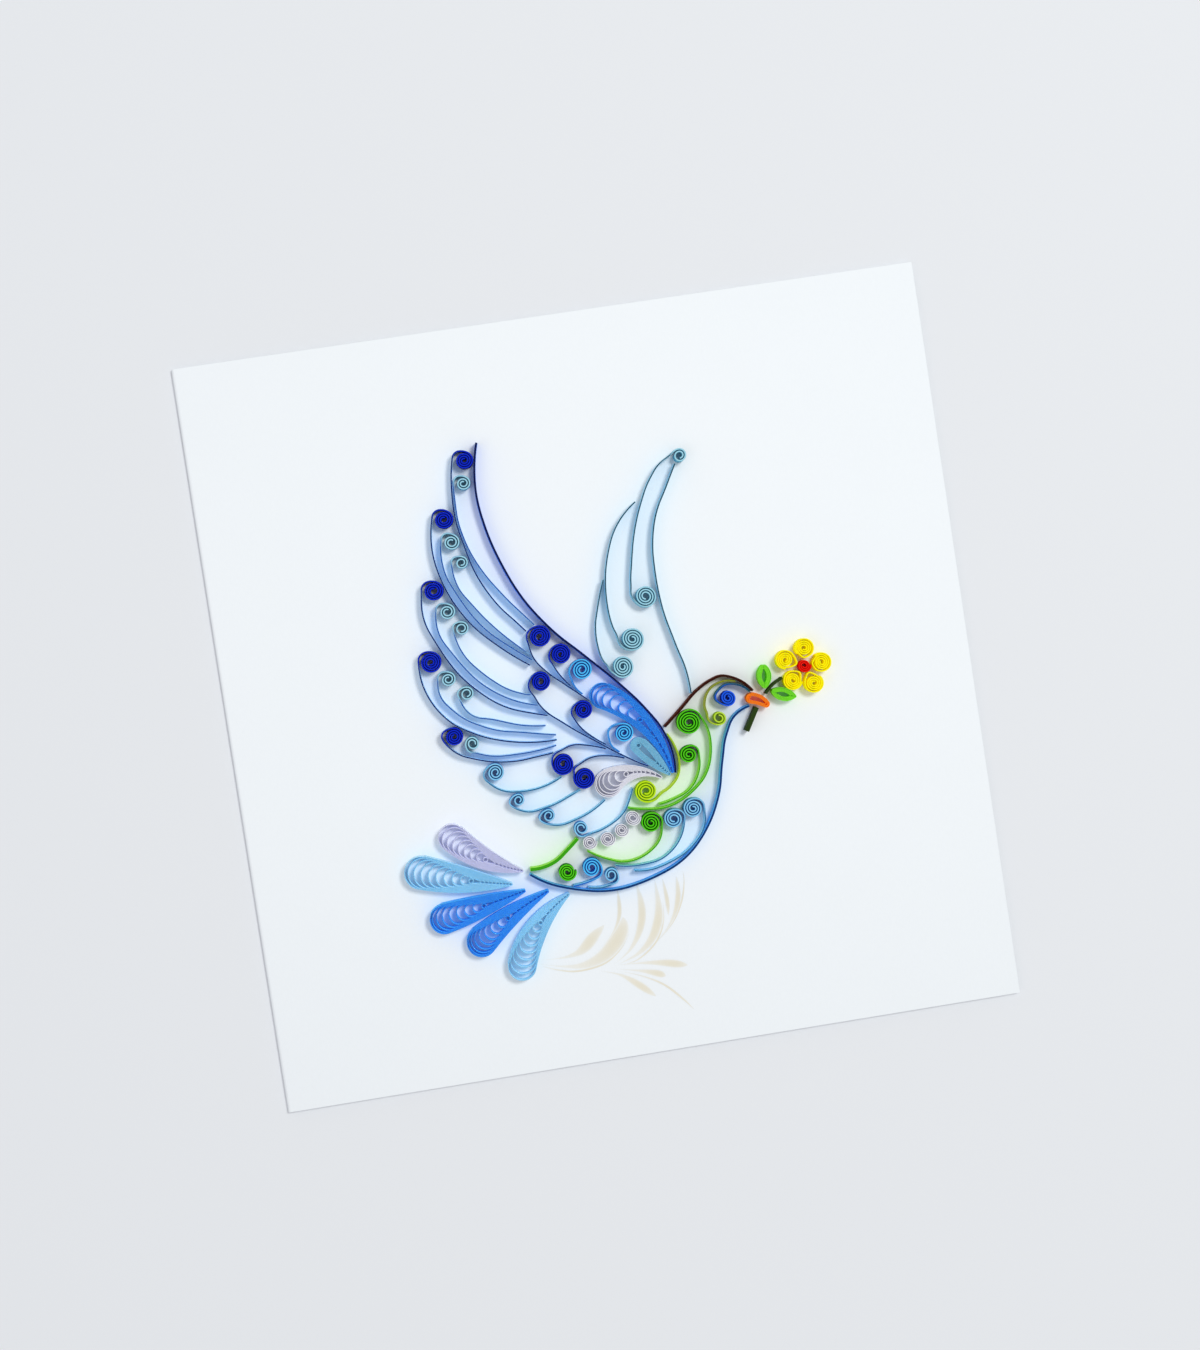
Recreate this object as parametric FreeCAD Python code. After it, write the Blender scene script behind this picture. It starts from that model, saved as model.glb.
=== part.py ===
import FreeCAD, Part
import math
import os

V = FreeCAD.Vector

# Folded card, mm: origin at the middle of the card, on the surface it rests on, fold on the -X side
card_side = 152.4
panel_thick = 0.4
panel_gap = 0.6
card_top = 2 * panel_thick + panel_gap

# Paper strips, all glued on edge to the front of the card
strip_height = 3.0
outline_thick = 0.46
scroll_thick = 0.32
fine_thick = 0.30
loop_thick = 0.13
glue_gap = 0.04
dark_pitch = 0.46
open_pitch = 0.52
bead_pitch = 0.38
eye_radius = 0.32
tight_eye_radius = 0.17
fold_radius = 0.22
loop_gap = 0.05
core_radius = 0.55
tail_wrap = 110
double_wrap = 90
short_wrap = 50

# Picture: its points, coil sizes and bows are given in steps of this grid from the card's middle
grid = 0.9935

# Flower, in steps of the grid
flower_centre_radius = 1.45
petal_radius = 2.0
petal_foot = 0.80
petal_bow = 5.0
petal_gap = 0.10

# Strips of other stock
petal_thick = 0.26
petal_pitch = 0.40
stem_thick = 0.90
stalk_thick = 0.45
stripe_thick = 0.70

# How finely a laid strip is remembered, and the cell size of the grid it is kept in
sample_step = 0.08
cell = 1.2
laid = {}


def at(p):
    return V(p[0] * grid, p[1] * grid, 0)


def left(v):
    return V(-v.y, v.x, 0)


def turned(v, a):
    return V(v.x * math.cos(a) - v.y * math.sin(a), v.x * math.sin(a) + v.y * math.cos(a), 0)


def unit(v):
    return v / v.Length


# An arc is (start, start direction, end); its lean is the angle from the chord to the start direction
def lean(arc):
    chord = arc[2] - arc[0]
    return math.atan2(chord.x * arc[1].y - chord.y * arc[1].x, chord.dot(arc[1]))


def point(arc, f):
    a = lean(arc)
    if abs(a) < 1e-6:
        return arc[0] + (arc[2] - arc[0]) * f
    reach = (arc[2] - arc[0]).Length * math.sin(f * a) / math.sin(a)
    return arc[0] + turned(arc[1], -f * a) * reach


def heading(arc, f=1.0):
    return turned(arc[1], -2 * f * lean(arc))


def length(arc):
    a = lean(arc)
    chord = (arc[2] - arc[0]).Length
    return chord if abs(a) < 1e-6 else chord * a / math.sin(a)


def backwards(path):
    return [(arc[2], heading(arc) * -1, arc[0]) for arc in reversed(path)]


def beside(arc, d):
    return (arc[0] + left(arc[1]) * d, arc[1], arc[2] + left(heading(arc)) * d)


def edge(arc):
    if abs(lean(arc)) < 1e-4:
        return Part.LineSegment(arc[0], arc[2]).toShape()
    return Part.Arc(arc[0], point(arc, 0.5), arc[2]).toShape()


def standing(path, thick):
    # One strip of paper on edge along the path
    near = [edge(beside(arc, thick / 2)) for arc in path]
    far = [edge(beside(arc, -thick / 2)) for arc in reversed(path)]
    side = left(heading(path[-1])) * (thick / 2)
    tail = Part.LineSegment(path[-1][2] + side, path[-1][2] - side).toShape()
    side = left(path[0][1]) * (thick / 2)
    head = Part.LineSegment(path[0][0] - side, path[0][0] + side).toShape()
    solid = Part.Face(Part.Wire(near + [tail] + far + [head])).extrude(V(0, 0, strip_height))
    solid.translate(V(0, 0, card_top))
    return solid


# Two arcs from p, heading s, to q, heading e
def biarc(p, s, q, e):
    v = q - p
    k = 2 * (1 - s.dot(e))
    b = v.dot(s + e)
    d = v.dot(v) / (2 * b) if k < 1e-6 else (math.sqrt(b * b + k * v.dot(v)) - b) / k
    first = (p, s, (p + s * d + q - e * d) / 2)
    return [first, (first[2], heading(first), q)]


def mirrored(d, chord):
    c = unit(chord)
    return c * (2 * d.dot(c)) - d


def through(pts, first=None, last=None, second=None):
    # Smooth run of arcs; at each point it takes the direction of the circle through its neighbours
    steps = [b - a for a, b in zip(pts, pts[1:])]
    dirs = [unit(a / a.dot(a) + b / b.dot(b)) for a, b in zip(steps, steps[1:])]
    start = first or (mirrored(dirs[0], steps[0]) if dirs else unit(steps[0]))
    dirs = [start] + ([second] + dirs[1:] if second else dirs)
    dirs.append(last or mirrored(dirs[-1], steps[-1]))
    path = []
    for i in range(len(steps)):
        path += biarc(pts[i], dirs[i], pts[i + 1], dirs[i + 1])
    return path


def coil(centre, radius, pitch, angle, sense, eye=eye_radius):
    # Spiral of half circles from the middle out to the given angle
    u = turned(V(1, 0, 0), angle)
    path = []
    side = 1
    while radius - pitch / 2 > eye:
        inner = radius - pitch / 2
        start = centre - u * (side * inner)
        path.insert(0, (start, left(u) * (-side * sense), centre + u * (side * radius)))
        radius = inner
        side = -side
    return path


def samples(path):
    pts = []
    for arc in path:
        n = int(length(arc) / sample_step) + 1
        pts += [point(arc, i / n) for i in range(n)]
    return pts + [path[-1][2]]


def remember(path, thick):
    for p in samples(path):
        laid.setdefault((int(p.x // cell), int(p.y // cell)), []).append((p.x, p.y, thick / 2))


def blocked(p, thick):
    i, j = int(p.x // cell), int(p.y // cell)
    near = [q for a in (i - 1, i, i + 1) for b in (j - 1, j, j + 1) for q in laid.get((a, b), [])]
    return any(math.hypot(p.x - q[0], p.y - q[1]) < q[2] + thick / 2 + glue_gap for q in near)


def stopped(path, thick):
    # The path up to the first strip already laid
    kept = []
    for arc in path:
        n = int(length(arc) / sample_step) + 1
        for i in range(1, n + 1):
            if blocked(point(arc, i / n), thick):
                return kept + ([(arc[0], arc[1], point(arc, (i - 1) / n))] if i > 1 else [])
        kept.append(arc)
    return kept


def laidStrip(path, thick):
    remember(path, thick)
    return standing(path, thick)


def wound(centre, radius, first, sense, thick, pitch, wrap):
    # Coil whose free end leaves it the given wrap, in degrees, before the first point of its tail
    start = first - centre
    angle = math.atan2(start.y, start.x) - sense * math.radians(wrap)
    return coil(centre, radius * grid - thick / 2, pitch, angle, sense)


def scroll(centre, radius, points, sense=1, thick=fine_thick, pitch=open_pitch, wrap=tail_wrap):
    c = at(centre)
    tail = [at(p) for p in points]
    spiral = wound(c, radius, tail[0], sense, thick, pitch, wrap)
    second = unit(unit(left(tail[0] - c)) * sense + unit(tail[1] - tail[0]))
    run = through([spiral[-1][2]] + tail, heading(spiral[-1]), second=second)
    return laidStrip(spiral + stopped(run, thick), thick)


def darkScroll(centre, radius, points, sense=1, wrap=tail_wrap):
    return scroll(centre, radius, points, sense, scroll_thick, dark_pitch, wrap)


def doubleScroll(one, r1, sense1, two, r2, sense2, points):
    between = [at(p) for p in points]
    a = wound(at(one), r1, between[0], sense1, fine_thick, open_pitch, double_wrap)
    b = wound(at(two), r2, between[-1], sense2, fine_thick, open_pitch, double_wrap)
    run = through([a[-1][2]] + between + [b[-1][2]], heading(a[-1]), heading(b[-1]) * -1)
    return laidStrip(a + run + backwards(b), fine_thick)


def strip(points, thick=outline_thick):
    return laidStrip(stopped(through([at(p) for p in points]), thick), thick)


def bead(centre, radius, thick=loop_thick, pitch=bead_pitch, eye=eye_radius):
    return laidStrip(coil(at(centre), radius * grid - thick / 2, pitch, 0, 1, eye), thick)


def meeting(o, r, p, q, near):
    # Where the circle of radius r about o crosses that of radius q about p, on the side of near
    d = p - o
    x = (r * r - q * q + d.dot(d)) / (2 * d.Length)
    y = left(unit(d)) * math.sqrt(r * r - x * x)
    found = [o + unit(d) * x + y, o + unit(d) * x - y]
    return min(found, key=lambda c: (c - near).Length)


def bowCentre(a, b, bow):
    # Centre of the arc of radius bow that touches rings a and b from outside; a negative bow is hollow
    away = left(unit(b[0] - a[0])) * (2 * bow)
    return meeting(a[0], abs(bow - a[1]), b[0], abs(bow - b[1]), a[0] + away)


def joint(a, b, bow):
    # That arc, as the strip runs along it from ring a to ring b
    o = bowCentre(a, b, bow)
    sign = math.copysign(1, bow)
    start = unit(a[0] - o) * sign
    return (a[0] + start * a[1], left(start), b[0] + unit(b[0] - o) * (sign * b[1]))


def shaped(head, head_radius, foot, foot_radius, turns, out_bow, back_bow):
    # Coil pressed to a shape with two ends: loops one inside another, wound as one strip
    step = loop_thick + loop_gap
    full = head_radius * grid - loop_thick / 2
    a = (at(head), full)
    b = (at(foot), foot_radius)
    out, back = out_bow * grid, back_bow * grid
    o, p = bowCentre(a, b, out), bowCentre(b, a, back)
    spare = max(0, full - core_radius - turns * step)
    rings, bows = [(a[0], full + loop_thick + glue_gap)], [back, out]
    for i in range(turns + 1):
        u, v = out - i * step, back - i * step
        r = max(foot_radius - i * step, fold_radius)
        b = (meeting(o, abs(u - r), p, abs(v - r), b[0]), r)
        r = max(full - i * step - spare * (i / turns) ** 2, fold_radius)
        a = (meeting(o, abs(u - r), p, abs(v - r), a[0]), r)
        rings += [b, a]
        bows += [v, u - step]
    rings.reverse()
    joints = [joint(c, d, bow) for c, d, bow in zip(rings, rings[1:], bows[-3::-1])]
    u = joints[0][0] - rings[0][0]
    path = coil(rings[0][0], rings[0][1], step, math.atan2(u.y, u.x), 1)
    for i, arc in enumerate(joints):
        if i > 0:
            start = joints[i - 1][2]
            path.append((start, left(unit(start - rings[i][0])), arc[0]))
        path.append(arc)
    return laidStrip(path, loop_thick)


def teardrop(head, radius, tip, turns, out, back):
    return shaped(head, radius, tip, fold_radius, turns, out, back)


def petal(centre, radius, foot):
    # Loose round coil with its last turn drawn out to a blunt foot
    c, f = at(centre), at(foot)
    inner = radius * grid - 1.5 * petal_thick - glue_gap
    outer = inner + petal_thick + glue_gap
    foot_ring = (f, petal_foot * grid - petal_thick / 2)
    out = joint((c, inner), foot_ring, petal_bow * grid)
    back = joint(foot_ring, (c, outer), petal_bow * grid)
    u = unit(out[0] - c)
    path = coil(c, inner, petal_pitch, math.atan2(u.y, u.x), 1)
    path += [out, (out[2], left(unit(out[2] - f)), back[0]), back]
    path.append((back[2], left(unit(back[2] - c)), c + u * outer))
    return laidStrip(path, petal_thick)


def save(name, shape):
    if isinstance(shape, list):
        shape = Part.makeCompound(shape)
    shape.exportStep("parts/" + name + ".step")


def foldedCard():
    outer = card_top / 2
    inner = panel_gap / 2
    far = card_side / 2
    near = outer - card_side / 2
    corners = [
        (V(far, 0, 0), V(near, 0, 0)),
        (V(near, 0, card_top), V(far, 0, card_top)),
        (V(far, 0, card_top), V(far, 0, card_top - panel_thick)),
        (V(far, 0, card_top - panel_thick), V(near, 0, card_top - panel_thick)),
        (V(near, 0, panel_thick), V(far, 0, panel_thick)),
        (V(far, 0, panel_thick), V(far, 0, 0)),
    ]
    edges = [Part.LineSegment(a, b).toShape() for a, b in corners]
    edges.append(Part.Arc(V(near, 0, 0), V(near - outer, 0, outer), V(near, 0, card_top)).toShape())
    middle = V(near - inner, 0, outer)
    edges.append(Part.Arc(V(near, 0, card_top - panel_thick), middle, V(near, 0, panel_thick)).toShape())
    card = Part.Face(Part.Wire(Part.__sortEdges__(edges))).extrude(V(0, card_side, 0))
    card.translate(V(0, -card_side / 2, 0))
    save("folded_card", card)


def sprig():
    save("beak", shaped((29.9, -7.25), 1.05, (32.8, -8.8), 0.7, 3, -9.0, 4.5))
    middle = V(41.8, -2.3, 0)
    save("flower_centre", bead(middle, flower_centre_radius, fine_thick, fine_thick + 2 * glue_gap,
                               tight_eye_radius))
    petals = []
    for angle, drawn in [(82, 0.07), (154, 0.56), (3, 0.08), (223, 0.23), (290.5, 0.5)]:
        out = turned(V(1, 0, 0), math.radians(angle))
        foot = middle + out * (flower_centre_radius + petal_gap + petal_foot)
        petals.append(petal(foot + out * (petal_radius - petal_foot + drawn), petal_radius, foot))
    save("petals", petals)
    upright = shaped((33.35, -1.35), 0.55, (33.1, -5.4), fold_radius, 4, 3.0, 3.0)
    level = shaped((34.65, -6.6), 0.35, (38.95, -8.2), fold_radius, 4, 3.2, 3.8)
    save("leaves", [upright, level])
    lower = strip([(28.0, -13.75), (30.9, -9.0)], stem_thick)
    upper = strip([(33.1, -6.75), (34.6, -5.3), (36.7, -4.15), (39.9, -3.05)], stalk_thick)
    save("stem", [lower, upper])


def wingTeardrops():
    save("wing_teardrop_blue", teardrop((-0.1, -2.1), 2.7, (11.6, -19.6), 7, -25.0, 24.0))
    save("wing_teardrop_teal", teardrop((5.6, -13.3), 1.7, (10.9, -20.0), 6, 20.0, 20.0))
    save("wing_teardrop_grey", teardrop((-1.7, -20.0), 2.85, (9.1, -20.35), 6, -7.0, 12.5))


def tail():
    save("tail_feather_1", teardrop((-35.0, -26.0), 2.8, (-21.9, -34.9), 8, 21.0, -60.0))
    save("tail_feather_2", teardrop((-42.4, -32.1), 3.35, (-24.5, -37.3), 9, 45.0, 150.0))
    save("tail_feather_3", teardrop((-39.0, -42.2), 3.0, (-22.1, -39.1), 8, 70.0, 120.0))
    save("tail_feather_4", teardrop((-32.2, -48.0), 3.1, (-17.4, -39.9), 8, -90.0, 50.0))
    save("tail_feather_5", teardrop((-24.8, -54.3), 2.9, (-13.3, -41.2), 8, -34.0, 19.0))


def frame():
    # The long strips that the scrolls end against
    save("wing_edge_strip", strip([
        (-17.8, 52.8), (-19.2, 46), (-19.4, 41), (-18.6, 35), (-16.8, 28.3), (-13.3, 20), (-8.3, 12.7),
        (-2.6, 6.6), (3.2, 0.3), (8, -5.8), (10.9, -10.8), (12.3, -16.3), (12.2, -19.9)]))
    save("back_strip", strip([
        (11.5, -10.3), (15.5, -7), (19.2, -3.9), (22.1, -2.35), (24.6, -1.75), (27.1, -2.55),
        (30.5, -5.7)]))
    save("body_outline", strip([
        (29.3, -8.65), (26, -10.2), (23.6, -14), (22.1, -19), (20.4, -25.5), (17.3, -31.6), (12.1, -37.1),
        (3.6, -40.7), (-4.4, -41.7), (-12.4, -40.1), (-17.75, -37.8), (-20.4, -35.9)]))


def farWing():
    save("far_wing_double_scroll", doubleScroll(
        (22.8, 44.1), 1.5, 1, (11.6, 16.7), 2.3, -1,
        [(20.4, 44.2), (18.5, 43.1), (16, 40.3), (13.2, 35), (11, 29), (9.8, 24), (9, 19.8),
         (8.9, 16.8)]))
    save("far_wing_strip", strip([
        (21.6, 42.6), (19.5, 39), (16.2, 33), (14.6, 27), (14.25, 21), (14.7, 13.5), (16.1, 6.5),
        (17.6, 0.1), (17.8, -4.4)], scroll_thick))
    save("far_wing_scroll_outer", scroll(
        (7.6, 8.5), 2.4, [(4.7, 8.8), (3.9, 12), (3.6, 17.5), (4.8, 25), (8.5, 32.6), (12.4, 36.1)], -1))
    save("far_wing_scroll_inner", scroll(
        (4.8, 3.2), 2.35, [(1.9, 3.4), (0.95, 5.2), (0.35, 8.5), (0.5, 12), (1.6, 16), (3.5, 21.3)], -1,
        wrap=short_wrap))


def coverts():
    save("covert_4", darkScroll(
        (-12.3, 2.75), 2.1, [(-14.5, 0.8), (-12.9, -2.4), (-7.9, -7.2), (-2.6, -11.3), (1, -14),
                             (4.4, -16.3), (8.4, -18.7), (10.2, -20.3)]))
    save("shoulder_scroll", scroll(
        (3.0, -10.25), 2.05, [(-0.2, -10.4), (0.1, -12.3), (1.6, -14), (3.9, -15.6)]))
    save("covert_1", darkScroll(
        (-11.05, 11.9), 2.3, [(-13.7, 11.4), (-12.9, 7.6), (-10.4, 4.15), (-7.6, 1.55), (-4.0, -1.7),
                            (-1.15, -4.35), (1.6, -6.7)]))
    save("covert_3", scroll((-3.6, 3.9), 2.2, [(-6.1, 2.8), (-5.5, 0.7), (-3.7, -1.6), (-3.0, -2.4)]))
    save("covert_2", darkScroll((-7.4, 7.7), 2.15, [(-9.6, 6.4), (-8.5, 4), (-6, 0.5), (-4.6, -1)]))
    save("covert_5", darkScroll(
        (-4.5, -4.3), 1.95, [(-6.8, -5.4), (-5.6, -7.7), (-3.2, -10.3), (-1, -12)]))
    save("flank_1", darkScroll(
        (-10.25, -14.6), 2.3, [(-10.8, -11.9), (-7.8, -11.1), (-4.4, -11.7), (-0.9, -13)], -1))
    save("flank_2", darkScroll(
        (-6.4, -18.1), 2.3, [(-7.7, -15.5), (-4.4, -14.2), (-0.3, -14.5), (3, -15.7)], -1, short_wrap))


def featherOne():
    save("feather_1", darkScroll(
        (-20.8, 49.6), 1.9, [(-23.1, 50.5), (-24.3, 43.3), (-24.4, 37.9), (-23.5, 32.6), (-21.7, 25.7),
                             (-18.6, 19.6), (-15.1, 15.2), (-13.5, 13.2)]))
    save("feather_1_inner", scroll(
        (-21.7, 45), 1.55, [(-23.55, 45.7), (-23.95, 41), (-23.95, 37.9), (-23.1, 33.2), (-20.4, 26.4),
                            (-16.9, 20.9), (-13.3, 16.3), (-11.7, 14.3)]))


def featherTwo():
    save("feather_2", darkScroll(
        (-26.75, 38.3), 2.0, [(-28.95, 39.3), (-30, 31.7), (-28.9, 25.5), (-25.3, 17.7), (-18.6, 10.2),
                              (-13.9, 6.4)]))
    save("feather_2_inner_a", scroll(
        (-25.9, 33.5), 1.7, [(-27.8, 34.6), (-28.3, 28.5), (-26, 22), (-21.9, 15.2), (-16.5, 10),
                             (-13.3, 7.4)]))
    save("feather_2_inner_b", scroll(
        (-24.5, 29.1), 1.4, [(-26.55, 29.4), (-26.2, 25.2), (-23, 19.3), (-19.2, 14.3), (-14.7, 9.6),
                             (-12.9, 7.9)]))


def featherThree():
    save("feather_3", darkScroll(
        (-31, 24.3), 2.1, [(-33.4, 24.9), (-33.9, 19.6), (-31.6, 12.4), (-26.6, 4.3), (-20.7, -0.9),
                           (-14.2, -3.6), (-11.9, -4.3)]))
    save("feather_3_inner_a", scroll(
        (-28.9, 19.7), 1.7, [(-31.1, 20.5), (-31.4, 16.4), (-28.4, 9.8), (-23, 3), (-17.75, -0.4),
                             (-13.6, -1.9)]))
    save("feather_3_inner_b", scroll(
        (-26.5, 15.9), 1.5, [(-28.3, 16.0), (-27.5, 11.9), (-23, 5.5), (-18.1, 1.7), (-14.3, 0.3)]))


def featherFour():
    save("feather_4", darkScroll(
        (-33.8, 10), 2.25, [(-36.25, 10.6), (-35.9, 4.9), (-32.3, -1.9), (-26.6, -6), (-19.5, -8.6),
                            (-10.8, -9.5)]))
    save("feather_4_inner_a", scroll(
        (-30.8, 6.1), 1.6, [(-32.9, 6.6), (-33, 3.4), (-30.1, -1.1), (-24, -5.1), (-16, -7.3),
                            (-10.8, -8.5)]))
    save("feather_4_inner_b", scroll(
        (-27.5, 2.6), 1.5, [(-29.3, 2.3), (-27.8, -1.2), (-22, -3.8), (-16.9, -5.6), (-12.6, -6.3)]))


def featherFive():
    save("feather_5", darkScroll(
        (-31.4, -5.7), 1.95, [(-33.8, -6), (-31.9, -8.6), (-26.6, -11.3), (-20.4, -12.5), (-14.2, -12.2),
                             (-11, -11.9)]))
    save("feather_5_inner", scroll(
        (-27.9, -7.6), 1.5, [(-28.2, -9.5), (-24.6, -10.7), (-18.6, -11.2), (-11.1, -10.6)]))


def lowerEdge():
    save("lower_edge_1", scroll(
        (-24.2, -14.2), 1.9, [(-26.3, -15.6), (-24, -17.7), (-18.6, -18.9), (-13.6, -18.2), (-11, -17.1)]))
    save("lower_edge_2", scroll(
        (-20.4, -20.5), 1.35, [(-22, -21.5), (-19.5, -23), (-14.2, -22.7), (-8.8, -20.8), (-7.6, -20.3)]))
    save("lower_edge_3", scroll(
        (-14.8, -24.6), 1.4, [(-16.4, -25.6), (-13.6, -26.8), (-8.8, -26.1), (-2.9, -23.2)]))
    save("lower_edge_4", scroll(
        (-8.6, -28.2), 1.5, [(-8.3, -29.9), (-3.5, -28.8), (0.5, -26.3), (2.2, -23.6), (3.0, -21.7)]))


def head():
    save("olive_scroll", scroll(
        (22.8, -10.2), 1.5, [(20.5, -9.5), (20.3, -7), (21.6, -4.3), (24.5, -2.95), (27.2, -3.3)], -1))
    save("eye_scroll", darkScroll(
        (25.15, -6.4), 1.7, [(23, -5.1), (24.8, -3.8), (27, -3.85), (29.9, -5.8)], -1))


def breast():
    save("lime_scroll", scroll(
        (5.7, -22.7), 2.3, [(8.2, -24.1), (10.8, -22.6), (12.7, -20.6), (13.4, -17.4), (12.7, -13.8),
                            (11.6, -11.6)]))
    save("green_scroll_1", scroll(
        (16.5, -10.15), 2.55, [(18.9, -8.9), (20.2, -12.2), (20.3, -15.6), (18.6, -20.9), (15.2, -24.2),
                               (10, -26.5), (4.5, -26.3), (1.6, -25.6)], -1))
    save("green_scroll_2", scroll(
        (15.5, -16.7), 1.8, [(17.6, -16.3), (17.2, -20), (14.6, -23.7), (10.7, -25.3), (8, -25.8)], -1))


def belly():
    beads = [((2.15, -27.7), 1.7), ((-0.5, -29.85), 1.55), ((-3.6, -31.2), 1.65), ((-7.35, -31.35), 1.55)]
    save("white_beads", [bead(centre, radius) for centre, radius in beads])
    save("green_bead", bead((-12.8, -36.6), 1.95, fine_thick, dark_pitch))
    save("green_stripe", strip(
        [(-20.2, -34.9), (-15.4, -34.3), (-11.5, -31.7), (-9.7, -30.2)], stripe_thick))
    save("green_scroll_3", scroll(
        (5.7, -29.25), 2.1, [(8, -29.6), (7.2, -32.6), (3.9, -35.5), (-0.5, -36.4), (-4.6, -35.1),
                             (-8, -33.1)], -1))
    save("blue_scroll_1", scroll(
        (10.4, -29.2), 2.0, [(12.7, -29.4), (11.4, -33), (7.7, -36.5), (1.8, -37.5), (-2.8, -36.8)], -1))
    save("blue_scroll_2", scroll(
        (14.7, -27.7), 2.05, [(17, -27.6), (16.5, -31.5), (13.2, -35.5), (8.4, -37.9), (3, -38.8),
                              (0.9, -38.5)], -1))
    save("blue_scroll_3", scroll((-7.75, -36.5), 2.0, [(-6.8, -38.7), (-9, -39.3), (-12, -39.6)], -1))
    save("blue_scroll_4", scroll((-4, -38.6), 1.5, [(-3.6, -40.4), (-6.3, -40.8), (-9, -40.4)], -1))


os.makedirs("parts", exist_ok=True)
foldedCard()
sprig()
frame()
wingTeardrops()
tail()
farWing()
coverts()
featherOne()
featherTwo()
featherThree()
featherFour()
featherFive()
lowerEdge()
head()
breast()
belly()
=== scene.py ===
import bpy
import bmesh
import math
from mathutils import Matrix, Vector, kdtree, noise


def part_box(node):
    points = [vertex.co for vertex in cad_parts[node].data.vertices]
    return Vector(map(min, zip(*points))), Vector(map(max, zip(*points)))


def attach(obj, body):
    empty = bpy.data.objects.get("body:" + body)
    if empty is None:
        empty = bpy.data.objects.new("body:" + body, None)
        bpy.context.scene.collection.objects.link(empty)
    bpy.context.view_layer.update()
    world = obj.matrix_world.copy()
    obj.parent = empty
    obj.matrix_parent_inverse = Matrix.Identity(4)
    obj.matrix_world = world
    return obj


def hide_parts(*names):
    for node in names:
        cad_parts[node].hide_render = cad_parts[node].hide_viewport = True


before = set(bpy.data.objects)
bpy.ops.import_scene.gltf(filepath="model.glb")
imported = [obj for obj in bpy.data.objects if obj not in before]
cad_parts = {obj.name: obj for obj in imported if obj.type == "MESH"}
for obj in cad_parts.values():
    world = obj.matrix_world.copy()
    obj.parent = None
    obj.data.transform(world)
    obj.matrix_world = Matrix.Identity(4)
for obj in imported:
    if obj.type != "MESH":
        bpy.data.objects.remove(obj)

scene = bpy.context.scene
mm = 0.001
noise.seed_set(1)  # so that paper leans the same way each time
mergeGap = 0.001 * mm  # points this near are one point
sharpAngle = math.radians(40)  # bends past this stay crisp
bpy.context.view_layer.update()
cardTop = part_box("folded_card")[1].z
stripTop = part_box("body_outline")[1].z


def paint(r, g, b):  # a colour as it looks on screen, 0 to 255, to the linear value that nodes want
    return tuple(c / 12.92 if c <= 0.04045 else ((c + 0.055) / 1.055) ** 2.4
                 for c in (r / 255, g / 255, b / 255)) + (1.0,)


# Paper fibre, shared by every material
fibreLook = {"cloudDetail": 3.0, "detail": 2.0, "coarse": 0.7, "stretch": (1.0, 0.35, 0.6),
             "smoothest": 0.62, "roughest": 0.88}


def newGroup(name, inputs, outputs):
    tree = bpy.data.node_groups.new(name, "ShaderNodeTree")
    for socket, kind, value in inputs:
        made = tree.interface.new_socket(name=socket, in_out="INPUT", socket_type=kind)
        made.default_value = value
    for socket, kind in outputs:
        tree.interface.new_socket(name=socket, in_out="OUTPUT", socket_type=kind)
    return tree, tree.nodes.new("NodeGroupInput"), tree.nodes.new("NodeGroupOutput")


def mathNode(tree, operation):
    node = tree.nodes.new("ShaderNodeMath")
    node.operation = operation
    return node


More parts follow.
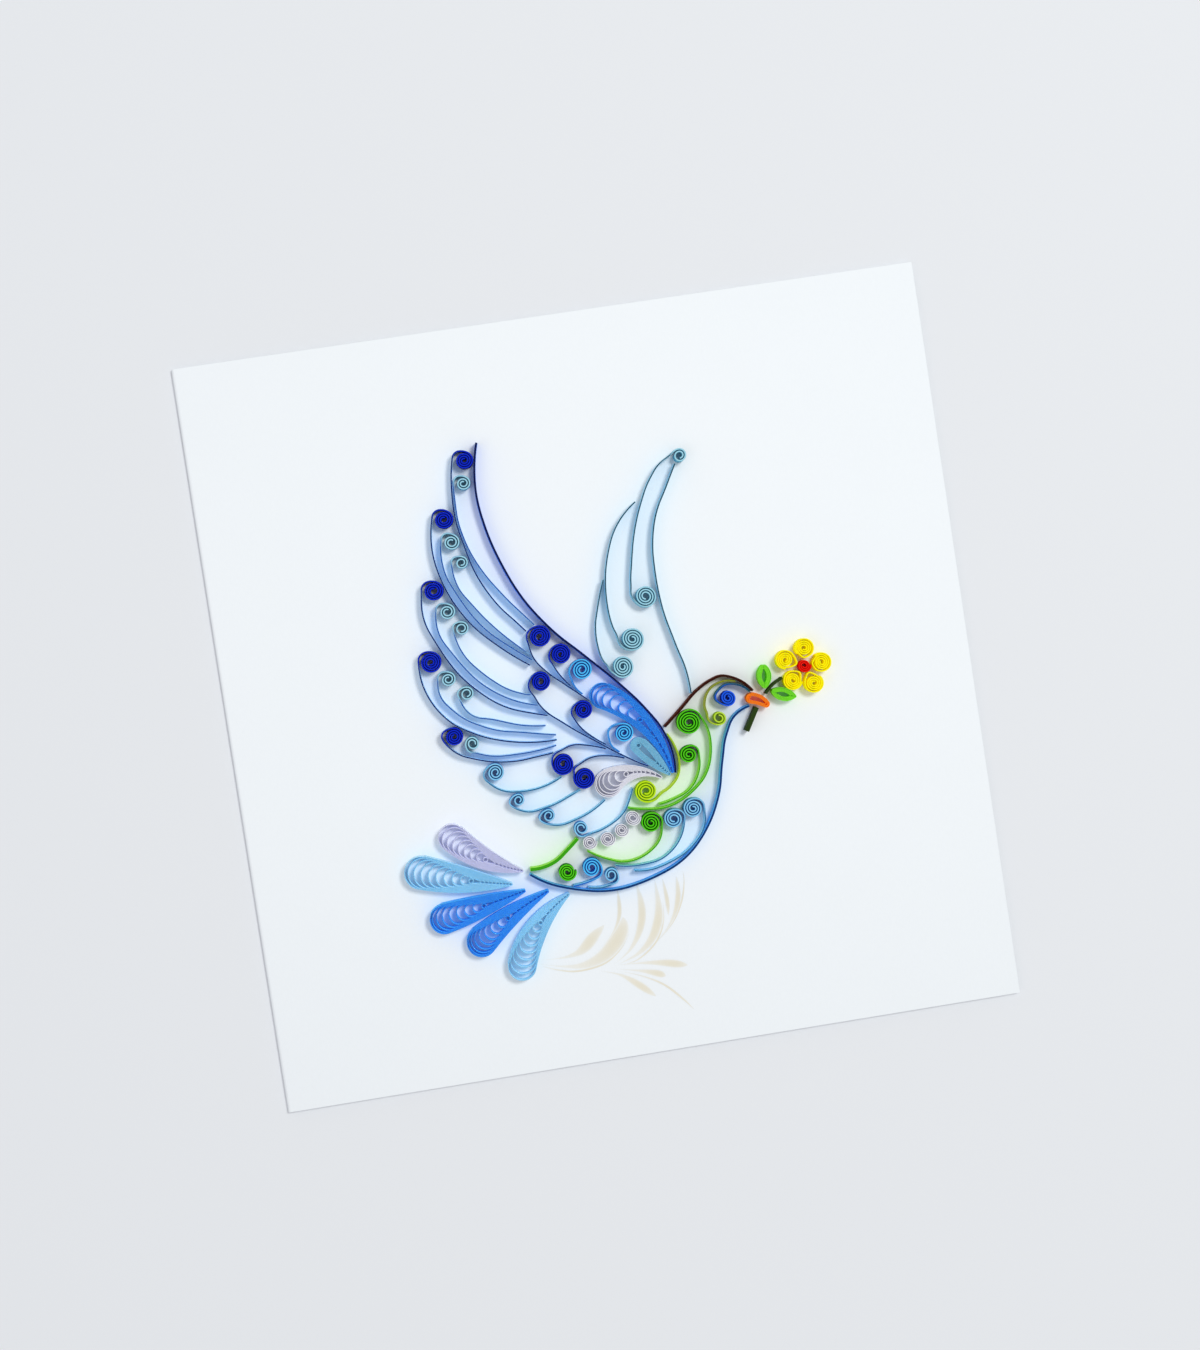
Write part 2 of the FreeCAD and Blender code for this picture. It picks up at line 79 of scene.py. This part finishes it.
def buildPaperFibre():  # cloudy pulp and fine fibres over two colours that the mesh's own blend mixes
    tree, given, out = newGroup(
        "paperFibre",
        [("Color", "NodeSocketColor", (0.8, 0.8, 0.8, 1)),
         ("Second Color", "NodeSocketColor", (0.8, 0.8, 0.8, 1)),
         ("Cloud", "NodeSocketFloat", 0.1), ("Cloud Scale", "NodeSocketFloat", 300.0),
         ("Fibre", "NodeSocketFloat", 0.1), ("Fibre Scale", "NodeSocketFloat", 6000.0)],
        [("Color", "NodeSocketColor"), ("Roughness", "NodeSocketFloat"), ("Height", "NodeSocketFloat")])
    place = tree.nodes.new("ShaderNodeTexCoord")
    blend = tree.nodes.new("ShaderNodeAttribute")
    blend.attribute_name = "blend"
    twoTone = tree.nodes.new("ShaderNodeMix")
    twoTone.data_type = "RGBA"
    cloud = tree.nodes.new("ShaderNodeTexNoise")
    cloud.inputs["Detail"].default_value = fibreLook["cloudDetail"]
    stretch = tree.nodes.new("ShaderNodeMapping")
    stretch.inputs["Scale"].default_value = fibreLook["stretch"]
    fibre = tree.nodes.new("ShaderNodeTexNoise")
    fibre.inputs["Detail"].default_value = fibreLook["detail"]
    fibre.inputs["Roughness"].default_value = fibreLook["coarse"]
    cloudTone = mathNode(tree, "SUBTRACT")  # noise round zero, so that it darkens as much as it lightens
    cloudTone.inputs[1].default_value = 0.5
    fibreTone = mathNode(tree, "SUBTRACT")
    fibreTone.inputs[1].default_value = 0.5
    cloudPart = mathNode(tree, "MULTIPLY")
    bothParts = mathNode(tree, "MULTIPLY_ADD")
    lift = mathNode(tree, "ADD")
    lift.inputs[1].default_value = 1.0
    tone = tree.nodes.new("ShaderNodeHueSaturation")
    rough = tree.nodes.new("ShaderNodeMapRange")
    rough.inputs["To Min"].default_value = fibreLook["smoothest"]
    rough.inputs["To Max"].default_value = fibreLook["roughest"]
    link = tree.links.new
    link(blend.outputs["Fac"], twoTone.inputs["Factor"])
    link(given.outputs["Color"], twoTone.inputs["A"])
    link(given.outputs["Second Color"], twoTone.inputs["B"])
    link(place.outputs["Object"], cloud.inputs["Vector"])
    link(given.outputs["Cloud Scale"], cloud.inputs["Scale"])
    link(place.outputs["Object"], stretch.inputs["Vector"])
    link(stretch.outputs["Vector"], fibre.inputs["Vector"])
    link(given.outputs["Fibre Scale"], fibre.inputs["Scale"])
    link(cloud.outputs["Fac"], cloudTone.inputs[0])
    link(fibre.outputs["Fac"], fibreTone.inputs[0])
    link(cloudTone.outputs[0], cloudPart.inputs[0])
    link(given.outputs["Cloud"], cloudPart.inputs[1])
    link(fibreTone.outputs[0], bothParts.inputs[0])
    link(given.outputs["Fibre"], bothParts.inputs[1])
    link(cloudPart.outputs[0], bothParts.inputs[2])
    link(bothParts.outputs[0], lift.inputs[0])
    link(twoTone.outputs["Result"], tone.inputs["Color"])
    link(lift.outputs[0], tone.inputs["Value"])
    link(tone.outputs["Color"], out.inputs["Color"])
    link(fibre.outputs["Fac"], rough.inputs["Value"])
    link(rough.outputs["Result"], out.inputs["Roughness"])
    link(fibre.outputs["Fac"], out.inputs["Height"])
    return tree


paperFibre = buildPaperFibre()

# What all paper has in common; soakDepth is how far light goes into a thin strip
paperLook = {"relief": 0.5, "shine": 0.1, "soakDepth": 0.5 * mm, "soakTint": (1.0, 1.0, 1.0)}


def paperMaterial(name, color, second=None, cloud=0.12, cloudScale=350.0, fibre=0.16, fibreScale=7000.0,
                  bump=0.02, thin=0.0, paintedGlow=0.0):  # bump is in mm
    mat = bpy.data.materials.new(name)
    mat.use_nodes = True
    nodes, link = mat.node_tree.nodes, mat.node_tree.links.new
    shader = nodes["Principled BSDF"]
    group = nodes.new("ShaderNodeGroup")
    group.node_tree = paperFibre
    for socket, value in (("Color", color), ("Second Color", second or color),
                          ("Cloud", cloud), ("Cloud Scale", cloudScale),
                          ("Fibre", fibre), ("Fibre Scale", fibreScale)):
        group.inputs[socket].default_value = value
    relief = nodes.new("ShaderNodeBump")
    relief.inputs["Strength"].default_value = paperLook["relief"]
    relief.inputs["Distance"].default_value = bump * mm
    for socket, value in (("Specular IOR Level", paperLook["shine"]), ("Subsurface Weight", thin),
                          ("Subsurface Radius", paperLook["soakTint"]),
                          ("Subsurface Scale", paperLook["soakDepth"]), ("Emission Strength", paintedGlow)):
        shader.inputs[socket].default_value = value
    link(group.outputs["Color"], shader.inputs["Base Color"])
    # emission in the paper's own colour is a painted glow; only strip walls are given any
    link(group.outputs["Color"], shader.inputs["Emission Color"])
    link(group.outputs["Roughness"], shader.inputs["Roughness"])
    link(group.outputs["Height"], relief.inputs["Height"])
    link(relief.outputs["Normal"], shader.inputs["Normal"])
    return mat


def newPiece(name, bm, materials):  # turns a finished bmesh into an object at the origin
    mesh = bpy.data.meshes.new(name)
    bm.to_mesh(mesh)
    bm.free()
    for mat in materials:
        mesh.materials.append(mat)
    piece = bpy.data.objects.new(name, mesh)
    scene.collection.objects.link(piece)
    return piece


# Paper of each strip: cut edge and wall where it is coiled, then cut edge and wall where it runs free.
# These are lit and shaded tones of one paper colour, painted light and shade: coiled walls are darker,
# painted shade between the turns;
# free cut edges are darker than coiled ones, painted shade along a lone strip; free walls are mostly lighter
# than their cut edges, painted light bounced and let through, and darker on the pale, orange, green, yellow
# and red loops, painted shade on their sides
strips = {
    "navyCoil": {"coil": ((8, 38, 196), (2, 14, 110)), "tail": ((8, 26, 100), (160, 210, 255)),
                 "nodes": ["feather_1", "feather_2", "feather_3", "feather_4", "feather_5",
                           "covert_1", "covert_2", "covert_4", "covert_5", "flank_1", "flank_2"]},
    "tealInner": {"coil": ((160, 212, 232), (80, 145, 170)), "tail": ((34, 82, 165), (180, 222, 255)),
                  "nodes": ["feather_1_inner", "feather_2_inner_a", "feather_2_inner_b", "feather_3_inner_a",
                            "feather_3_inner_b", "feather_4_inner_a", "feather_4_inner_b",
                            "feather_5_inner"]},
    "azureCoil": {"coil": ((80, 192, 250), (25, 110, 205)), "tail": ((24, 95, 200), (120, 200, 250)),
                  "nodes": ["covert_3", "shoulder_scroll", "blue_scroll_3"]},
    "midnightEdge": {"tail": ((6, 18, 72), (80, 125, 225)), "nodes": ["wing_edge_strip"]},
    "brownBack": {"tail": ((48, 10, 0), (80, 30, 14)), "nodes": ["back_strip"]},
    "bodyOutline": {"tail": ((8, 50, 112), (95, 175, 238)), "nodes": ["body_outline"]},
    "royalDrop": {"tail": ((6, 98, 214), (80, 178, 255)),
                  "nodes": ["wing_teardrop_blue", "tail_feather_3", "tail_feather_4"]},
    "skyDrop": {"tail": ((96, 176, 224), (176, 226, 255)), "nodes": ["tail_feather_2", "tail_feather_5"]},
    "aquaDrop": {"tail": ((110, 180, 216), (150, 208, 234)), "nodes": ["wing_teardrop_teal"]},
    "pearlStrip": {"tail": ((244, 244, 250), (214, 214, 228)), "nodes": ["wing_teardrop_grey"]},
    "beadStrip": {"tail": ((252, 252, 255), (222, 222, 232)), "nodes": ["white_beads"]},
    "lilacDrop": {"tail": ((170, 172, 210), (222, 225, 252)), "nodes": ["tail_feather_1"]},
    "mistWing": {"coil": ((160, 214, 232), (90, 160, 185)), "tail": ((38, 76, 96), (155, 208, 234)),
                 "nodes": ["far_wing_double_scroll", "far_wing_strip", "far_wing_scroll_outer",
                           "far_wing_scroll_inner"]},
    "paleBlue": {"coil": ((135, 202, 240), (60, 130, 190)), "tail": ((34, 100, 150), (150, 216, 246)),
                 "nodes": ["lower_edge_1", "lower_edge_2", "lower_edge_3", "lower_edge_4",
                           "blue_scroll_1", "blue_scroll_2", "blue_scroll_4"]},
    "oliveHead": {"coil": ((185, 220, 60), (150, 185, 20)), "tail": ((104, 104, 16), (190, 200, 95)),
                  "nodes": ["olive_scroll"]},
    "eyeCoil": {"coil": ((28, 90, 230), (12, 50, 175)), "tail": ((8, 52, 56), (70, 140, 155)),
                "nodes": ["eye_scroll"]},
    "greenCoil": {"coil": ((80, 205, 22), (22, 115, 0)), "tail": ((56, 160, 12), (150, 225, 80)),
                  "nodes": ["green_scroll_1", "green_scroll_2", "green_scroll_3", "green_bead",
                            "green_stripe"]},
    "limeCoil": {"coil": ((195, 232, 25), (160, 205, 0)), "tail": ((146, 188, 18), (210, 235, 80)),
                 "nodes": ["lime_scroll"]},
    "orangeBeak": {"tail": ((255, 146, 40), (250, 112, 15)), "nodes": ["beak"]},
    "leafLoops": {"tail": ((135, 238, 55), (110, 215, 40)), "nodes": ["leaves"]},
    "stemStrip": {"tail": ((42, 62, 18), (46, 62, 26)), "nodes": ["stem"]},
    "petalLoops": {"tail": ((255, 246, 0), (255, 234, 0)), "nodes": ["petals"]},
    "flowerHeart": {"tail": ((238, 18, 0), (200, 0, 0)), "nodes": ["flower_centre"]},
}
# How far paper strays from its solid; free and coiled are how many points lie near one there;
# soak is the light that comes through its walls, and the glow is painted light: the walls give off their own
# colour in place of light let through and bounced
stripShape = {"cutBevel": 0.025 * mm, "lean": 0.07 * mm, "leanSpan": 9 * mm, "dip": 0.2 * mm,
              "dipSpan": 5 * mm, "dipStep": 7.3, "crowdReach": 0.9 * mm, "free": 8, "coiled": 22,
              "soak": 0.5, "paintedGlow": 0.08, "cutFibre": 0.2}


def freeShare(bm):  # 0 where a strip is coiled, 1 where it runs free, from how crowded its points are
    spots = sorted({(round(v.co.x, 6), round(v.co.y, 6), 0.0) for v in bm.verts})
    tree = kdtree.KDTree(len(spots))
    for i, spot in enumerate(spots):
        tree.insert(spot, i)
    tree.balance()
    # this share mixes a strip's coiled tones into its free tones, one set of painted light and shade into
    # the other
    share = bm.verts.layers.float.new("blend")
    free, coiled = stripShape["free"], stripShape["coiled"]
    for v in bm.verts:
        crowd = len(tree.find_range((v.co.x, v.co.y, 0.0), stripShape["crowdReach"]))
        v[share] = min(1.0, max(0.0, (coiled - crowd) / (coiled - free)))


def dressStrip(node, number, wallPaintedShading, cutPaintedShading):
    bm = bmesh.new()
    bm.from_mesh(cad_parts[node].data)
    bmesh.ops.remove_doubles(bm, verts=bm.verts, dist=mergeGap)
    top = [f for f in bm.faces if f.normal.z > 0.9]  # the cut edge
    freeShare(bm)
    bmesh.ops.inset_region(bm, faces=top, thickness=stripShape["cutBevel"], use_even_offset=True,
                           use_boundary=True)
    for f in bm.faces:
        f.smooth = True
        f.material_index = 0
    # the sides take the wall tone and the cut edge the cut tone: lit and shaded tones of one paper, painted
    # light and shade
    for f in top:
        f.material_index = 1
    for v in bm.verts:  # the rim outside the inset drops, which breaks the sharp edge
        if v.co.z > stripTop - mergeGap and any(abs(f.normal.z) < 0.1 for f in v.link_faces):
            v.co.z -= stripShape["cutBevel"]
    middle = (cardTop + stripTop) / 2
    bmesh.ops.bisect_plane(bm, geom=bm.verts[:] + bm.edges[:] + bm.faces[:], plane_co=(0, 0, middle),
                           plane_no=(0, 0, 1))
    for v in bm.verts:  # paper leans and its edge runs up and down a little
        high = (v.co.z - cardTop) / (stripTop - cardTop)
        lean = noise.noise_vector(v.co / stripShape["leanSpan"]) * stripShape["lean"] * high
        dip = noise.noise((v.co.x / stripShape["dipSpan"], v.co.y / stripShape["dipSpan"],
                           number * stripShape["dipStep"]))
        v.co.x += lean.x
        v.co.y += lean.y
        v.co.z -= (0.5 + 0.5 * dip) * stripShape["dip"] * high
    piece = newPiece(node + "_paper", bm, [wallPaintedShading, cutPaintedShading])
    piece.data.set_sharp_from_angle(angle=sharpAngle)
    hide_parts(node)
    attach(piece, "root")
    return piece


def dressStrips():
    number = 0
    for name, look in strips.items():
        # each strip's wall and cut materials are painted light and shade over one paper, and the wall one
        # adds a painted glow
        tailCutPaintedShading, tailWallPaintedShading = [paint(*color) for color in look["tail"]]
        coilCutPaintedShading, coilWallPaintedShading = [paint(*color) for color in look.get("coil", look["tail"])]
        wallPaintedShading = paperMaterial(name + "WallPaintedShading", coilWallPaintedShading, tailWallPaintedShading, thin=stripShape["soak"],
                             paintedGlow=stripShape["paintedGlow"])
        cutPaintedShading = paperMaterial(name + "CutPaintedShading", coilCutPaintedShading, tailCutPaintedShading, fibre=stripShape["cutFibre"])
        for node in look["nodes"]:
            number += 1
            piece = dressStrip(node, number, wallPaintedShading, cutPaintedShading)
    print("strips dressed:", number)


# Card
cardLook = {"color": (243, 247, 251), "bevel": 0.06 * mm, "flat": math.radians(1),
            "rim": math.radians(60)}


def dressCard():
    bm = bmesh.new()
    bm.from_mesh(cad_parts["folded_card"].data)
    bmesh.ops.remove_doubles(bm, verts=bm.verts, dist=mergeGap)
    bmesh.ops.dissolve_limit(bm, angle_limit=cardLook["flat"], verts=bm.verts, edges=bm.edges)
    rims = [e for e in bm.edges if len(e.link_faces) == 2 and e.calc_face_angle() > cardLook["rim"]]
    bmesh.ops.bevel(bm, geom=rims, offset=cardLook["bevel"], segments=2, profile=0.5, affect="EDGES",
                    material=-1)
    for f in bm.faces:
        f.smooth = True
    paper = paperMaterial("whiteCard", paint(*cardLook["color"]), cloud=0.012, cloudScale=90.0,
                          fibre=0.03, fibreScale=2600.0, bump=0.03)
    card = newPiece("card_sheet", bm, [paper])
    card.data.set_sharp_from_angle(angle=sharpAngle)
    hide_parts("folded_card")
    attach(card, "root")
    print("card dressed")


# Printed plume on the card's front, in mm: each stroke's width, where along it that is, and its route
plume = {
    "height": 0.01 * mm, "layer": 0.002 * mm, "ink": (232, 226, 209), "along": 28, "across": 6,
    "hairline": 0.02, "tipInk": 0.35,
    "strokes": [
        (2.7, 0.70, [(-20.9, -53.6), (-16.7, -53.9), (-13.4, -53.5), (-11.3, -52.4), (-9.2, -50.5),
                     (-6.8, -48.6)]),
        (3.6, 0.68, [(-20.9, -54.5), (-16.7, -55.6), (-12.5, -56.1), (-8.3, -55.0), (-5.0, -52.4),
                     (-3.1, -49.5), (-2.8, -47.6)]),
        (1.0, 0.60, [(-7.5, -52.6), (-5.0, -50.1), (-3.5, -47.2), (-3.1, -44.2), (-3.1, -41.8)]),
        (1.9, 0.60, [(-5.8, -56.8), (-2.4, -54.5), (-0.1, -51.4), (1.1, -48.0), (1.3, -44.6),
                     (0.9, -41.2)]),
        (2.2, 0.58, [(-5.0, -57.0), (-0.8, -55.5), (2.3, -53.0), (4.1, -49.7), (4.8, -46.3),
                     (4.8, -41.0)]),
        (1.3, 0.70, [(2.6, -54.2), (5.6, -51.6), (7.9, -48.4), (9.1, -44.9), (9.3, -41.0)]),
        (1.0, 0.50, [(6.5, -48.8), (6.7, -45.5), (6.4, -41.0)]),
        (1.8, 0.68, [(-6.2, -57.1), (-0.8, -57.5), (3.5, -58.1), (6.8, -58.9), (8.9, -59.5)]),
        (1.6, 0.68, [(-5.6, -58.0), (-0.8, -59.1), (2.6, -60.2), (4.1, -61.0)]),
        (1.7, 0.70, [(-9.2, -57.7), (-5.0, -59.3), (-1.6, -61.9), (1.5, -64.8)]),
        (0.55, 0.60, [(-5.6, -58.3), (-0.7, -60.2), (3.5, -62.7), (6.8, -66.1), (8.9, -68.8)]),
        (0.5, 0.50, [(-20.9, -54.8), (-17.6, -56.2), (-13.4, -57.1), (-7.9, -56.4), (-4.1, -53.9),
                     (-2.0, -51.0)]),
        (0.45, 0.50, [(-4.1, -57.3), (-0.8, -56.6), (3.0, -53.9), (5.2, -50.1), (5.8, -45.9)]),
        (0.4, 0.50, [(3.0, -54.1), (7.2, -50.3), (9.6, -46.3), (10.7, -42.5), (10.8, -40.0)]),
    ],
}


def onRoute(points, share):  # place and direction on a smooth line through the points
    step = min(share * (len(points) - 1), len(points) - 1.001)
    i = int(step)
    u = step - i
    a, b, c, d = [Vector(points[min(max(k, 0), len(points) - 1)]) for k in (i - 1, i, i + 1, i + 2)]
    bend, twist = 2 * a - 5 * b + 4 * c - d, 3 * b - a - 3 * c + d
    place = b + ((c - a) * u + bend * u ** 2 + twist * u ** 3) / 2
    ahead = (c - a) + 2 * bend * u + 3 * twist * u ** 2
    return place, ahead.normalized()


def layStroke(bm, width, widest, points, height, faint):
    sheet = bmesh.ops.create_grid(bm, x_segments=plume["along"], y_segments=plume["across"], size=1.0)
    for v in sheet["verts"]:
        share = (v.co.x + 1) / 2
        swell = math.sin(math.pi * share ** (math.log(0.5) / math.log(widest)))  # 1 where widest
        place, ahead = onRoute(points, share)
        aside = Vector((-ahead.y, ahead.x)) * (v.co.y * width / 2 * max(swell, plume["hairline"]))
        v[faint] = (1 - v.co.y ** 4) * (plume["tipInk"] + (1 - plume["tipInk"]) * swell)
        v.co = ((place.x + aside.x) * mm, (place.y + aside.y) * mm, height)


def printPlume():
    bm = bmesh.new()
    faint = bm.verts.layers.float.new("blend")
    for i, (width, widest, points) in enumerate(plume["strokes"]):
        layStroke(bm, width, widest, points, cardTop + plume["height"] + i * plume["layer"], faint)
    bmesh.ops.recalc_face_normals(bm, faces=bm.faces)
    for f in bm.faces:  # ink faces up
        if f.normal.z < 0:
            f.normal_flip()
    ink = paperMaterial("plumeInk", paint(*cardLook["color"]), paint(*plume["ink"]), cloud=0.04,
                        cloudScale=500.0, fibre=0.05, fibreScale=2600.0, bump=0.01)
    piece = newPiece("plume_print", bm, [ink])
    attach(piece, "root")
    print("plume printed:", len(plume["strokes"]), "strokes")


# Floor, lamps and camera
studio = {"floor": (232, 234, 238), "floorSize": 3.0, "floorDrop": 0.02 * mm, "world": 0.54,
          "key": {"from": (0.55, 0.40, 1.5), "size": 0.42, "power": 11.8, "color": (0.98, 1.0, 0.98)},
          "fill": {"from": (-0.9, -0.3, 1.2), "size": 0.9, "power": 1.8, "color": (0.88, 0.88, 1.0)}}
shot = {"from": (-24.2 * mm, 14.4 * mm, 450 * mm), "aim": (0.15 * mm, 2.1 * mm, 0), "turn": 8.72,
        "lens": 66.0, "sensor": 36.0, "nearest": 10 * mm}


def buildStudio():
    bm = bmesh.new()
    bmesh.ops.create_grid(bm, x_segments=1, y_segments=1, size=studio["floorSize"] / 2)
    bmesh.ops.translate(bm, verts=bm.verts, vec=(0, 0, -studio["floorDrop"]))
    matt = paperMaterial("paleFloor", paint(*studio["floor"]), cloud=0.0, fibre=0.01, bump=0.0)
    floor = newPiece("floor", bm, [matt])
    world = scene.world or bpy.data.worlds.new("studioWorld")
    scene.world = world
    world.use_nodes = True
    sky = world.node_tree.nodes["Background"]
    sky.inputs["Color"].default_value = (1, 1, 1, 1)
    sky.inputs["Strength"].default_value = studio["world"]
    for name in ("key", "fill"):
        look = studio[name]
        lamp = bpy.data.lights.new(name, "AREA")
        lamp.shape = "DISK"
        lamp.size = look["size"]
        lamp.energy = look["power"]
        lamp.color = look["color"]
        holder = bpy.data.objects.new(name, lamp)
        holder.location = look["from"]
        holder.rotation_euler = (-Vector(look["from"])).to_track_quat("-Z", "Y").to_euler()
        scene.collection.objects.link(holder)
    print("studio lit")


def placeCamera():
    lens = bpy.data.cameras.new("photoCamera")
    lens.sensor_fit = "HORIZONTAL"
    lens.sensor_width = shot["sensor"]
    lens.lens = shot["lens"]
    lens.clip_start = shot["nearest"]
    camera = bpy.data.objects.new("photoCamera", lens)
    back = (Vector(shot["from"]) - Vector(shot["aim"])).normalized()
    turn = math.radians(shot["turn"])
    right = Vector((math.sin(turn), math.cos(turn), 0)).cross(back).normalized()
    axes = Matrix((right, back.cross(right), back)).transposed()
    camera.matrix_world = Matrix.Translation(shot["from"]) @ axes.to_4x4()
    scene.collection.objects.link(camera)
    scene.camera = camera
    print("camera placed")


dressCard()
dressStrips()
printPlume()
buildStudio()
placeCamera()
scene.view_settings.view_transform = "Standard"
